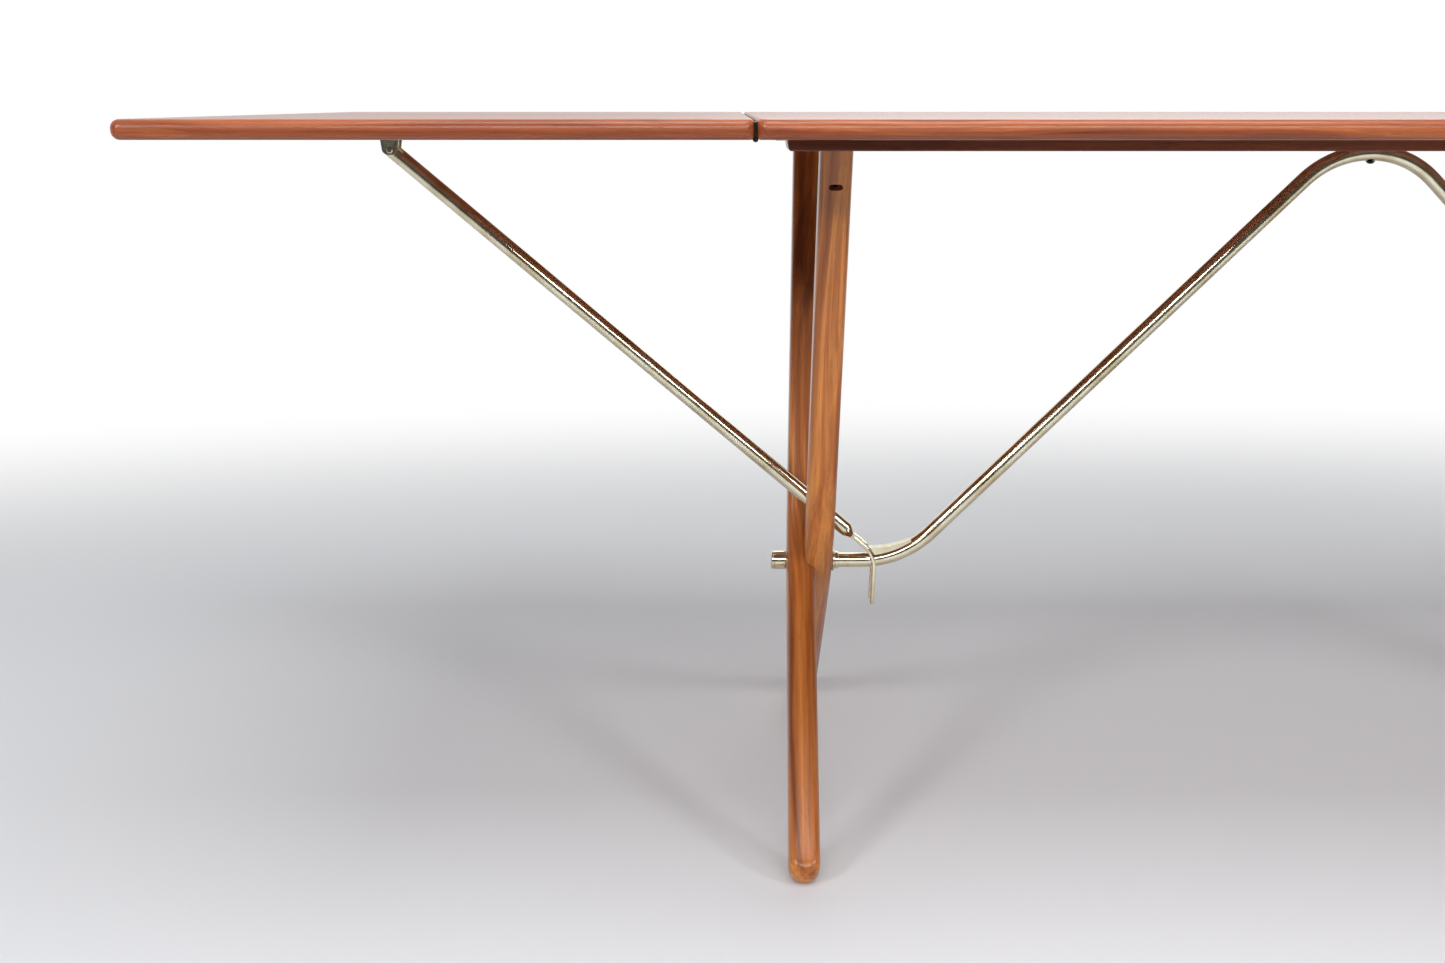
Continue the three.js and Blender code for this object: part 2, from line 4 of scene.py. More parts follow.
import bmesh
import bpy
import numpy as np
from mathutils import Matrix, Vector

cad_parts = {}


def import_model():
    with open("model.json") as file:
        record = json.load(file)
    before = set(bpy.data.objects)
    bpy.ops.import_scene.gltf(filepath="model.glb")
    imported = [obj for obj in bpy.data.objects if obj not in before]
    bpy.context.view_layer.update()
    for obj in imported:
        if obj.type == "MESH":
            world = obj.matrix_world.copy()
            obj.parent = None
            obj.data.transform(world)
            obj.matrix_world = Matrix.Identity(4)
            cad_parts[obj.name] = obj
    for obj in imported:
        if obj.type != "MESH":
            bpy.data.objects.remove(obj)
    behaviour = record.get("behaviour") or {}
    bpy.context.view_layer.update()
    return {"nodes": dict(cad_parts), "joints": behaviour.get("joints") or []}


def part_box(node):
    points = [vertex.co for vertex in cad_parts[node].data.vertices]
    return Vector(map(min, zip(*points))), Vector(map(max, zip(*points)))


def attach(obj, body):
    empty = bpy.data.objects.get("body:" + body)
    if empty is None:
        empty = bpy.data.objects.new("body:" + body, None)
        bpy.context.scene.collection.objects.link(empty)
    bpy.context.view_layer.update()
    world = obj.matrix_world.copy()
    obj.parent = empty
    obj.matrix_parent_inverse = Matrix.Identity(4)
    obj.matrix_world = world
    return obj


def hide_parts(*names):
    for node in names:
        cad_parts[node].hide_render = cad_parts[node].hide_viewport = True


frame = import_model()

# ---- sizes shared with the CAD, in metres ----
MM = 0.001
FIT = 0.3 * MM
BOARD_NOSE = 7 * MM
BOARD_CORNER = 9 * MM
BOARD_EASE = 2.5 * MM
LEG_THICK = 30 * MM
LEG_EDGE = 8 * MM
LEG_WIDE_TOP = 34 * MM
LEG_WIDE_CROSS = 36 * MM
LEG_WIDE_FOOT = 32 * MM
LEG_UPPER_SLOPE = 0.43
LEG_LOWER_SLOPE = 1.16
LEG_CORNER = Vector((18.1, 260)) * MM
LEG_BLEND = 250 * MM
LEG_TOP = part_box("leg_left_inner")[1][2]
OUTER_LEG_X = -582.6 * MM
OUTER_LEG_LEAN = math.radians(1.5)
INNER_LEG_X = -564 * MM
LAP_X = -573.3 * MM
POCKET_DEPTH = 8.5 * MM
POCKET_WIDE = 13 * MM
POCKET_TALL = 5.4 * MM
POCKET_DROP = 33 * MM
LAP_REACH = 60 * MM
LAP_SPAN = 80 * MM
BORE_REACH = 40 * MM
SCREW_HOLE = 2.7 * MM

ROD = 8 * MM
STRETCHER_Z = 247.3 * MM
STRETCHER_CORNER_X = -473.4 * MM
STRETCHER_BEND = 106 * MM
TUBE_END_X = -541.1 * MM
SPIGOT = 5 * MM
APEX_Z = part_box("rail_front")[0][2] - FIT - ROD

PIVOTS = {joint["name"]: Vector(joint["pos_m"]) for joint in frame["joints"]}
LEAF_PIVOT = Vector((PIVOTS["strut_pivot_left"].x, PIVOTS["strut_pivot_left"].z))
STRUT_ANGLE = math.radians(40.35)
STRUT_TUBE = 622 * MM
STRAP = 4 * MM
FORK_NECK = 24.2 * MM
FORK_BEND = 32 * MM
FORK_SWEEP = math.radians(52)
FORK_TIP_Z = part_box("strut_fork_left")[0][2]
FORK_WIDTH = 27 * MM
FORK_SLOT = 17 * MM
FORK_SOLID = 8 * MM

ROUND = 40
HALF_TURN = Matrix.Rotation(math.pi, 4, "Z")


# ---- mesh helpers ----
def make_object(name, verts, faces):
    mesh = bpy.data.meshes.new(name)
    mesh.from_pydata([tuple(v) for v in verts], [], faces)
    obj = bpy.data.objects.new(name, mesh)
    bpy.context.scene.collection.objects.link(obj)
    return obj


def skin(name, rings):
    """A closed solid through rings of equal length, with a flat face at each end."""
    count = len(rings[0])
    verts = [point for ring in rings for point in ring]
    faces = [tuple(reversed(range(count)))]
    for i in range(len(rings) - 1):
        for j in range(count):
            k = (j + 1) % count
            faces.append((i * count + j, i * count + k, (i + 1) * count + k, (i + 1) * count + j))
    last = (len(rings) - 1) * count
    faces.append(tuple(range(last, last + count)))
    obj = make_object(name, verts, faces)
    edit(obj, lambda bm: bmesh.ops.recalc_face_normals(bm, faces=bm.faces))
    return obj


def edit(obj, change):
    bm = bmesh.new()
    bm.from_mesh(obj.data)
    change(bm)
    bm.to_mesh(obj.data)
    bm.free()


def apply_modifiers(obj):
    graph = bpy.context.evaluated_depsgraph_get()
    mesh = bpy.data.meshes.new_from_object(obj.evaluated_get(graph))
    obj.modifiers.clear()
    obj.data = mesh


def boolean(obj, operation, *others):
    for other in others:
        modifier = obj.modifiers.new(operation, "BOOLEAN")
        modifier.operation = operation
        modifier.solver = "EXACT"
        modifier.object = other
    bpy.context.view_layer.update()
    apply_modifiers(obj)
    for other in others:
        bpy.data.objects.remove(other)
    return obj


def smooth(obj, degrees=32):
    for polygon in obj.data.polygons:
        polygon.use_smooth = True
    obj.data.set_sharp_from_angle(angle=math.radians(degrees))


def turned(name, profile, place, sides=ROUND):
    """Turns a profile of (radius, height) pairs about +Z, then moves it by the matrix place."""
    rings = []
    for radius, height in profile:
        ring = []
        for i in range(sides):
            angle = 2 * math.pi * i / sides
            reach = max(radius, 1e-5)
            ring.append(place @ Vector((reach * math.cos(angle), reach * math.sin(angle), height)))
        rings.append(ring)
    return skin(name, rings)


def along_x(z):
    """Carries a turned solid's axis from +Z to +X, at the height z."""
    return Matrix.Translation((0, 0, z)) @ Matrix.Rotation(math.pi / 2, 4, "Y")


def turn_half(obj):
    obj.data.transform(HALF_TURN)
    return obj


def set_grain(obj, locate, seed):
    """Stores where each vertex lies in the timber: along the grain, across it and through it."""
    attribute = obj.data.attributes.new("grain", "FLOAT_VECTOR", "POINT")
    shift = np.array([seed * 0.731, seed * 0.377, seed * 0.193])
    values = np.array([locate(v.co) for v in obj.data.vertices]) + shift
    attribute.data.foreach_set("vector", values.astype(np.float32).ravel())


# ---- materials ----
class Nodes:
    """A short way to write a node tree."""

    def __init__(self, name):
        self.material = bpy.data.materials.new(name)
        self.material.use_nodes = True
        self.tree = self.material.node_tree
        self.shader = self.tree.nodes["Principled BSDF"]

    def add(self, kind, inputs=None, **settings):
        node = self.tree.nodes.new(kind)
        for key, value in settings.items():
            setattr(node, key, value)
        for key, value in (inputs or {}).items():
            self.feed(node, key, value)
        return node

    def feed(self, node, key, value):
        if isinstance(value, bpy.types.NodeSocket):
            self.tree.links.new(value, node.inputs[key])
        else:
            node.inputs[key].default_value = value

    def set(self, **values):
        for key, value in values.items():
            self.feed(self.shader, key.replace("_", " "), value)

    def noise(self, vector, scale, detail=3.0, roughness=0.55, distortion=0.0):
        inputs = {"Vector": vector, "Scale": scale, "Detail": detail, "Roughness": roughness}
        inputs["Distortion"] = distortion
        return self.add("ShaderNodeTexNoise", inputs).outputs["Fac"]

    def stretch(self, vector, scale):
        return self.add("ShaderNodeMapping", {"Vector": vector, "Scale": scale}).outputs["Vector"]

    def ramp(self, fac, stops):
        node = self.add("ShaderNodeValToRGB", {"Fac": fac})
        elements = node.color_ramp.elements
        while len(elements) < len(stops):
            elements.new(0.5)
        for element, (position, color) in zip(elements, stops):
            element.position = position
            element.color = (*color, 1)
        return node.outputs["Color"]

    def mix(self, blend, fac, a, b):
        node = self.add("ShaderNodeMix", data_type="RGBA", blend_type=blend)
        self.feed(node, 0, fac)
        self.feed(node, 6, a)
        self.feed(node, 7, b)
        return node.outputs[2]

    def math(self, operation, a, b):
        node = self.add("ShaderNodeMath", operation=operation)
        self.feed(node, 0, a)
        self.feed(node, 1, b)
        return node.outputs[0]

    def range(self, value, low, high, to_low, to_high):
        inputs = {"Value": value, "From Min": low, "From Max": high, "To Min": to_low, "To Max": to_high}
        return self.add("ShaderNodeMapRange", inputs).outputs["Result"]

    def shade(self, fac, tone, value):
        """Multiplies a tone by a grey value."""
        grey = self.add("ShaderNodeCombineColor", {0: value, 1: value, 2: value}).outputs[0]
        return self.mix("MULTIPLY", fac, tone, grey)

    def bump(self, height, strength, distance):
        inputs = {"Height": height, "Strength": strength, "Distance": distance}
        return self.add("ShaderNodeBump", inputs).outputs["Normal"]


def linear(red, green, blue):
    """Turns a 0-255 screen colour into the linear colour that nodes take."""
    values = []
    for value in (red, green, blue):
        value /= 255
        values.append(value / 12.92 if value <= 0.04045 else ((value + 0.055) / 1.055) ** 2.4)
    return tuple(values)


def teak(name, dark, mid, light):
    n = Nodes(name)
    grain = n.add("ShaderNodeAttribute", attribute_name="grain").outputs["Vector"]
    bend = n.noise(n.stretch(grain, (1.6, 9, 9)), 1.0, 2.0)
    drift = n.math("MULTIPLY", n.math("SUBTRACT", bend, 0.5), 0.06)
    wander = n.add("ShaderNodeCombineXYZ", {"X": 0.0, "Y": drift, "Z": drift}).outputs["Vector"]
    flow = n.add("ShaderNodeVectorMath", operation="ADD")
    n.feed(flow, 0, grain)
    n.feed(flow, 1, wander)
    flow = flow.outputs["Vector"]
    bands = n.noise(n.stretch(flow, (1.1, 55, 55)), 1.0, 4.0, 0.6)
    tone = n.ramp(bands, [(0.30, dark), (0.47, mid), (0.60, light), (0.78, mid)])
    rings = n.noise(n.stretch(flow, (2.2, 210, 210)), 1.0, 3.0, 0.62)
    lines = n.range(rings, 0.40, 0.62, 0.80, 1.12)
    tone = n.shade(0.75, tone, lines)
    fibres = n.noise(n.stretch(flow, (14, 950, 950)), 1.0, 3.0, 0.7)
    fleck = n.range(fibres, 0.34, 0.60, 0.72, 1.10)
    tone = n.shade(0.6, tone, fleck)
    pores = n.noise(n.stretch(grain, (55, 1500, 1500)), 1.0, 1.0)
    pore = n.range(pores, 0.66, 0.74, 0.0, 0.55)
    color = n.mix("MIX", pore, tone, (*dark, 1))
    n.set(Base_Color=color, Roughness=n.range(fibres, 0.3, 0.7, 0.40, 0.30))
    n.set(Coat_Weight=0.45, Coat_Roughness=0.26, Coat_IOR=1.45, Specular_IOR_Level=0.3)
    depth = n.math("SUBTRACT", fibres, n.math("MULTIPLY", pore, 0.9))
    n.set(Normal=n.bump(depth, 0.12, 0.0004))
    return n.material


def brass(name, bright, warm):
    n = Nodes(name)
    place = n.add("ShaderNodeTexCoord").outputs["Object"]
    cloud = n.noise(place, 26, 4.0, 0.6)
    color = n.ramp(cloud, [(0.34, warm), (0.56, bright), (0.75, bright)])
    specks = n.noise(place, 900, 2.0)
    spot = n.range(specks, 0.68, 0.74, 0.0, 0.35)
    color = n.mix("MIX", spot, color, (*warm, 1))
    n.set(Base_Color=color, Metallic=1.0)
    wipe = n.noise(place, 70, 5.0, 0.65)
    n.set(Roughness=n.range(wipe, 0.3, 0.75, 0.12, 0.22))
    return n.material


def black_steel(name):
    n = Nodes(name)
    place = n.add("ShaderNodeTexCoord").outputs["Object"]
    wear = n.noise(place, 240, 4.0, 0.6)
    worn = linear(112, 92, 70)
    color = n.ramp(wear, [(0.35, linear(24, 19, 16)), (0.62, linear(44, 36, 30)), (0.78, worn)])
    n.set(Base_Color=color, Metallic=0.75, Roughness=n.range(wear, 0.3, 0.7, 0.5, 0.34))
    n.set(Normal=n.bump(n.noise(place, 700, 3.0), 0.08, 0.0002))
    return n.material


WOOD = teak("teak_satin", linear(88, 36, 17), linear(138, 67, 34), linear(164, 88, 47))
LEG_WOOD = teak("teak_legs", linear(112, 56, 22), linear(174, 100, 44), linear(204, 130, 62))
# A darker copy of the same teak. Its colour is painted shade for the shade under the top, used on the rails
# and battens.
WOOD_PAINTED_SHADE = teak("teak_underframe_painted_shade", linear(98, 50, 32), linear(130, 70, 46), linear(148, 84, 56))
BRASS = brass("brass_polished", linear(232, 225, 198), linear(205, 190, 152))
STEEL = black_steel("steel_blackened")


def settle(obj, body, slot, material, *nodes):
    obj.data.materials.clear()
    obj.data.materials.append(material)
    smooth(obj)
    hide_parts(*nodes)
    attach(obj, body)
    return obj


# ---- boards ----
def plan_loop(low, high, hinged, inset, z):
    """The board's outline at one height. A hinged end, one of (left, right), is almost square."""
    reach_y = max(BOARD_CORNER - inset, 0.4 * MM)
    steps = 8
    loop = []
    for side_x, side_y, start in ((1, 1, 0), (0, 1, 90), (0, 0, 180), (1, 0, 270)):
        reach_x = reach_y
        if hinged[side_x]:
            reach_x = BOARD_CORNER - BOARD_EASE * min(inset / BOARD_NOSE, 1) ** 2
        centre_x = high[0] - BOARD_CORNER if side_x else low[0] + BOARD_CORNER
        centre_y = high[1] - BOARD_CORNER if side_y else low[1] + BOARD_CORNER
        for i in range(steps + 1):
            angle = math.radians(start + 90 * i / steps)
            x, y = centre_x + reach_x * math.cos(angle), centre_y + reach_y * math.sin(angle)
            loop.append(Vector((x, y, z)))
    return loop


def board(node, body, hinged, seed):
    low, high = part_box(node)
    size = (low, high, hinged)
    steps = 9
    rings = [plan_loop(*size, BOARD_NOSE + 2 * MM, low[2])]
    for i in range(steps + 1):
        angle = math.radians(90 * i / steps)
        inset = BOARD_NOSE * (1 - math.sin(angle))
        rings.append(plan_loop(*size, inset, low[2] + BOARD_NOSE * (1 - math.cos(angle))))
    for i in range(steps + 1):
        angle = math.radians(90 * i / steps)
        inset = BOARD_NOSE * (1 - math.cos(angle))
        rings.append(plan_loop(*size, inset, high[2] - BOARD_NOSE * (1 - math.sin(angle))))
    rings.append(plan_loop(*size, BOARD_NOSE + 2 * MM, high[2]))
    obj = skin(f"{node}_board", rings)
    set_grain(obj, grain_along, seed)
    return settle(obj, body, "teak", WOOD, node)


# ---- legs ----
def leg_path():
    """The leg's centreline from foot to top, as points in (Y, Z)."""
    lower = Vector((LEG_LOWER_SLOPE, 1)).normalized()
    turn = math.atan(LEG_LOWER_SLOPE) - math.atan(LEG_UPPER_SLOPE)
    start = LEG_CORNER - lower * LEG_BLEND * math.tan(turn / 2)
    centre = start + Vector((-lower.y, lower.x)) * LEG_BLEND
    foot_z = LEG_WIDE_FOOT / 2 - 0.3 * MM
    foot = Vector((start.x - LEG_LOWER_SLOPE * (start.y - foot_z), foot_z))
    points = [foot.lerp(start, i / 12) for i in range(12)]
    for i in range(17):
        spoke = start - centre
        angle = turn * i / 16
        turned_spoke = (
            spoke.x * math.cos(angle) - spoke.y * math.sin(angle),
            spoke.x * math.sin(angle) + spoke.y * math.cos(angle),
        )
        points.append(centre + Vector(turned_spoke))
    end = Vector((LEG_CORNER.x + LEG_UPPER_SLOPE * (LEG_TOP - LEG_CORNER.y), LEG_TOP))
    points += [points[-1].lerp(end, i / 14) for i in range(1, 15)]
    return points


PATH = leg_path()


def path_tangent(i):
    before, after = PATH[max(i - 1, 0)], PATH[min(i + 1, len(PATH) - 1)]
    return (after - before).normalized()


def half_width(z):
    if z > STRETCHER_Z:
        share = (z - STRETCHER_Z) / (LEG_TOP - STRETCHER_Z)
        return (LEG_WIDE_CROSS + (LEG_WIDE_TOP - LEG_WIDE_CROSS) * share) / 2
    share = (STRETCHER_Z - z) / STRETCHER_Z
    return (LEG_WIDE_CROSS + (LEG_WIDE_FOOT - LEG_WIDE_CROSS) * share) / 2


def rounded_bar(half_x, half_y, edge, steps=6):
    """A rounded rectangle as (x, y) pairs about its middle."""
    points = []
    for cx, cy, start in ((1, 1, 0), (-1, 1, 90), (-1, -1, 180), (1, -1, 270)):
        for i in range(steps + 1):
            angle = math.radians(start + 90 * i / steps)
            x = cx * (half_x - edge) + edge * math.cos(angle)
            y = cy * (half_y - edge) + edge * math.sin(angle)
            points.append((x, y))
    return points


def leg_point(point, tangent, x, side):
    """A point of the leg's skin: side is measured square to the centreline, in its plane."""
    return Vector((x, point.x - tangent.y * side, point.y + tangent.x * side))


def leg_blank(name):
    rings = []
    tangent = path_tangent(0)
    dome = LEG_WIDE_FOOT / 2
    steps = 10
    for i in range(steps):
        angle = math.radians(90 * (1 - i / steps))
        shrink = max(math.cos(angle) ** 0.9, 0.02)
        centre = PATH[0] - tangent * dome * math.sin(angle)
        edge = LEG_EDGE + (min(LEG_THICK, LEG_WIDE_FOOT) / 2 - LEG_EDGE) * math.sin(angle)
        section = rounded_bar(LEG_THICK / 2, LEG_WIDE_FOOT / 2, edge)
        rings.append([leg_point(centre, tangent, x * shrink, side * shrink) for x, side in section])
    for i, point in enumerate(PATH):
        tangent = path_tangent(i)
        section = rounded_bar(LEG_THICK / 2, half_width(point.y), LEG_EDGE)
        rings.append([leg_point(point, tangent, x, side) for x, side in section])
    slide = Vector((0, tangent.x, tangent.y)) / tangent.y
    rings[-1] = [point + slide * (LEG_TOP - point.z) for point in rings[-1]]
    for ring in rings:
        for point in ring:
            point.z = max(point.z, 0.0)
    return skin(name, rings)


def leg_cutter(x0, x1):
    """The other leg's straight-sided outline near the crossing, to cut the half lap."""
    rings = []
    for i, point in enumerate(PATH):
        if abs(point.y - STRETCHER_Z) < LAP_SPAN:
            tangent = path_tangent(i)
            half = half_width(point.y) + FIT
            corners = ((x0, -half), (x1, -half), (x1, half), (x0, half))
            rings.append([leg_point(point, tangent, x, side) for x, side in corners])
    return skin("lap", rings)


def pocket_cutter(x, side):
    z = LEG_TOP - POCKET_DROP
    centre = LEG_CORNER.x + LEG_UPPER_SLOPE * (z - LEG_CORNER.y)
    face = centre + half_width(z) * math.hypot(1, LEG_UPPER_SLOPE)
    radius = POCKET_TALL / 2
    straight = (POCKET_WIDE - POCKET_TALL) / 2
    loop = []
    for centre_x, start in ((x + straight, -90), (x - straight, 90)):
        for i in range(9):
            angle = math.radians(start + 180 * i / 8)
            loop.append((centre_x + radius * math.cos(angle), z + radius * math.sin(angle)))
    depths = (side * (face - POCKET_DEPTH), side * (face + POCKET_DEPTH))
    return skin("pocket", [[Vector((px, depth, pz)) for px, pz in loop] for depth in depths])


def leg_locator(side):
    points = np.array([(side * p.x, p.y) for p in PATH])
    steps = np.linalg.norm(np.diff(points, axis=0), axis=1)
    runs = np.concatenate([[0], np.cumsum(steps)])

    def locate(co):
        offset = points - (co.y, co.z)
        nearest = int(np.argmin((offset ** 2).sum(1)))
        i = min(max(nearest, 1), len(points) - 2)
        tangent = (points[i + 1] - points[i - 1]) / np.linalg.norm(points[i + 1] - points[i - 1])
        away = np.array((co.y, co.z)) - points[i]
        return runs[i] + away @ tangent, away @ np.array((-tangent[1], tangent[0])), co.x

    return locate


def lean(obj):
    turn = Matrix.Rotation(OUTER_LEG_LEAN, 4, "Y")
    place = Matrix.Translation((OUTER_LEG_X, 0, STRETCHER_Z))
    obj.data.transform(place @ turn @ Matrix.Translation((0, 0, -STRETCHER_Z)))
    for vertex in obj.data.vertices:
        vertex.co.z = min(max(vertex.co.z, 0.0), LEG_TOP)
    return obj


def bore():
    profile = ((SPIGOT + FIT, OUTER_LEG_X - BORE_REACH), (SPIGOT + FIT, INNER_LEG_X + BORE_REACH))
    return turned("bore", profile, along_x(STRETCHER_Z))


def leg(end, which, seed):
    outer = which == "outer"
    side = 1 if outer else -1
    node = f"leg_{end}_{which}"
    obj = leg_blank(f"{node}_timber")
    if outer:
        lean(obj)
        cutter = leg_cutter(LAP_X - FIT / 2, LAP_X + LAP_REACH)
        cutter.data.transform(Matrix.Scale(-1, 4, (0, 1, 0)))
        cutter.data.flip_normals()
        top_x = OUTER_LEG_X + (LEG_TOP - STRETCHER_Z) * math.tan(OUTER_LEG_LEAN)
    else:
        obj.data.transform(HALF_TURN)
        obj.data.transform(Matrix.Translation((INNER_LEG_X, 0, 0)))
        cutter = leg_cutter(LAP_X - LAP_REACH, LAP_X + FIT / 2)
        top_x = INNER_LEG_X
    boolean(obj, "DIFFERENCE", cutter, bore(), pocket_cutter(top_x, side))
    set_grain(obj, leg_locator(side), seed)
    if end == "right":
        turn_half(obj)
    return settle(obj, "table", "teak", LEG_WOOD, node)


# ---- stretcher ----
def stretcher_path():
    bend_x = STRETCHER_CORNER_X - STRETCHER_BEND * math.tan(math.pi / 8)
    rise = STRETCHER_Z - STRETCHER_CORNER_X
    arch = (rise - APEX_Z) / (math.sqrt(2) - 1)
    half = [Vector((TUBE_END_X, 0, STRETCHER_Z)), Vector(((TUBE_END_X + bend_x) / 2, 0, STRETCHER_Z))]
    steps = 20
    for i in range(steps + 1):
        angle = math.pi / 4 * i / steps
        x = bend_x + STRETCHER_BEND * math.sin(angle)
        half.append(Vector((x, 0, STRETCHER_Z + STRETCHER_BEND * (1 - math.cos(angle)))))
    root = math.sqrt(0.5)
    arch_start = Vector((-arch * root, 0, APEX_Z - arch * (1 - root)))
    half += [half[-1].lerp(arch_start, i / 8) for i in range(1, 8)]
    for i in range(steps + 1):
        angle = -math.pi / 4 * (1 - i / steps)
        half.append(Vector((arch * math.sin(angle), 0, APEX_Z - arch * (1 - math.cos(angle)))))
    return half + [Vector((-p.x, 0, p.z)) for p in reversed(half[:-1])]


def sweep_xz(name, path, section):
    """Carries a section of (normal, y) pairs, which may depend on the station, along a path in XZ."""
    rings = []
    for i, point in enumerate(path):
        before, after = path[max(i - 1, 0)], path[min(i + 1, len(path) - 1)]
        tangent = (after - before).normalized()
        normal = Vector((-tangent.z, 0, tangent.x))
        rings.append([point + normal * up + Vector((0, across, 0)) for up, across in section(i)])
    return skin(name, rings)


def circle(radius):
    angles = [2 * math.pi * i / ROUND for i in range(ROUND)]
    return [(radius * math.cos(a), radius * math.sin(a)) for a in angles]


def stretcher():
    path = stretcher_path()
    tube = sweep_xz("stretcher_tube", path, lambda i: circle(ROD))
    low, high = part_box("stretcher")
    ends = [(low[0], TUBE_END_X + MM), (-TUBE_END_X - MM, high[0])]
    spigots = [turned("spigot", ((SPIGOT, a), (SPIGOT, b)), along_x(STRETCHER_Z)) for a, b in ends]
    boolean(tube, "UNION", *spigots)
    hole = turned("hole", ((SCREW_HOLE, APEX_Z - 12 * MM), (SCREW_HOLE, APEX_Z + 12 * MM)), Matrix())
    boolean(tube, "DIFFERENCE", hole)
    return settle(tube, "table", "brass", BRASS, "stretcher")


def ramp(end):
    """The raised stop on the stretcher, a slim wedge that runs out along the bend."""
    start, middle, finish = Vector((-508.8, 262.2)), Vector((-482.3, 262.6)), Vector((-463, 271.6))
    steps = 20
    outline = []
    for i in range(steps + 1):
        t = i / steps
        outline.append(start * (1 - t) ** 2 + middle * 2 * t * (1 - t) + finish * t * t)
    outline += [Vector((-460, 266)), Vector((-500, 248)), Vector((-503, 253))]
    half = 5.5 * MM
    edge = 1.2 * MM
    centre = sum(outline, Vector((0, 0))) / len(outline)
    rings = []
    for y, shrink in ((-half, edge), (-half + edge, 0), (half - edge, 0), (half, edge)):
        ring = []
        for point in outline:
            inward = (centre - point).normalized() * shrink
            ring.append(Vector((point.x * MM + inward.x, y, point.y * MM + inward.y * 0.6)))
        rings.append(ring)
    obj = skin(f"stop_ramp_{end}_wedge", rings)
    tube = sweep_xz("clearance", stretcher_path(), lambda i: circle(ROD + 0.05 * MM))
    boolean(obj, "DIFFERENCE", tube)
    if end == "right":
        turn_half(obj)
    return settle(obj, "table", "brass", BRASS, f"stop_ramp_{end}")


def fitting(end, node, profile):
    """A turned fitting on the stretcher's axis, with (radius, x) pairs in millimetres."""
    points = [(radius * MM, x * MM) for radius, x in profile]
    obj = turned(f"{node}_turned", points, along_x(STRETCHER_Z), 48)
    if end == "right":
        turn_half(obj)
    return settle(obj, "table", "brass", BRASS, node)


def arc_profile(radius, x, size, start, finish, steps=5):
    """Points of a rounded edge: size is its radius, and radius and x are its centre."""
    points = []
    for i in range(steps + 1):
        angle = math.radians(start + (finish - start) * i / steps)
        points.append((radius + size * math.cos(angle), x + size * math.sin(angle)))
    return points


def fittings(end):
    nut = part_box("cap_nut_left")
    far, near = nut[0][0] / MM, nut[1][0] / MM
    profile = [(0.01, far), (6.2, far), *arc_profile(7.6, far + 2.4, 2.4, -90, 0)]
    profile += [(10, far + 3.2), (9.6, far + 3.5), (9.6, far + 3.9), (10, far + 4.2)]
    profile += [*arc_profile(9.2, near - 0.8, 0.8, 0, 90), (SPIGOT / MM + 0.3, near)]
    fitting(end, f"cap_nut_{end}", profile)
    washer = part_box("washer_left")
    low, high = washer[0][0] / MM, washer[1][0] / MM
    profile = [(SPIGOT / MM + 0.3, low), (11.4, low), *arc_profile(11.2, (low + high) / 2, 0.8, -60, 60)]
    profile += [(11.4, high), (SPIGOT / MM + 0.3, high)]
    fitting(end, f"washer_{end}", profile)
    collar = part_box("collar_left")
    low, high = collar[0][0] / MM, collar[1][0] / MM
    profile = [(SPIGOT / MM + 0.3, low), (8.7, low), *arc_profile(8.5, low + 1, 1, -90, 0)]
    profile += [*arc_profile(8.5, high - 1, 1, 0, 90), (SPIGOT / MM + 0.3, high)]
    fitting(end, f"collar_{end}", profile)


# ---- struts ----
ALONG = Vector((math.cos(STRUT_ANGLE), 0, -math.sin(STRUT_ANGLE)))
PIVOT = Vector((LEAF_PIVOT.x, 0, LEAF_PIVOT.y))


def strut_place():
    """Carries a solid turned about +Z onto the strut's axis, with height 0 at the pivot."""
    return Matrix.Translation(PIVOT) @ Matrix.Rotation(math.pi / 2 + STRUT_ANGLE, 4, "Y")


def strut_tube(end):
    profile = [(0.01 * MM, -ROD)]
    profile += [(ROD * math.sin(a), -ROD * math.cos(a)) for a in (math.radians(9 * i) for i in range(1, 11))]
    profile += [(ROD, STRUT_TUBE - 0.6 * MM), (ROD - 0.6 * MM, STRUT_TUBE), (0.01 * MM, STRUT_TUBE)]
    obj = turned(f"strut_tube_{end}_rod", profile, strut_place(), 40)
    across = Matrix.Translation(PIVOT) @ Matrix.Rotation(math.pi / 2, 4, "X")
    hole = turned("hole", ((SCREW_HOLE, -20 * MM), (SCREW_HOLE, 20 * MM)), across, 24)
    boolean(obj, "DIFFERENCE", hole)
    if end == "right":
        turn_half(obj)
    return settle(obj, f"strut_{end}", "brass", BRASS, f"strut_tube_{end}")


def strap_path(first, last_z, steps=26):
    """The strap's centreline from a distance past the tube's end to a height near the tip."""
    start = PIVOT + ALONG * (STRUT_TUBE + FIT)
    bend_start = start + ALONG * FORK_NECK
    inward = Vector((ALONG.z, 0, -ALONG.x))
    centre = bend_start + inward * FORK_BEND
    points = [start + ALONG * d for d in np.linspace(first, FORK_NECK, 5)[:-1]]
    for i in range(steps + 1):
        arm = Matrix.Rotation(FORK_SWEEP * i / steps, 3, "Y") @ (bend_start - centre)
        points.append(centre + arm)
    last = points[-1]
    slant = math.tan(STRUT_ANGLE + FORK_SWEEP - math.pi / 2)
    drop = Vector((slant, 0, 1)) * (last.z - last_z)
    points += [last - drop * i / 8 for i in range(1, 9)]
    return points


TIP_SHARES = (0.3, 0.6, 0.8, 0.93, 1.0)
TIP_TAPERS = (0.97, 0.9, 0.78, 0.55, 0.25)


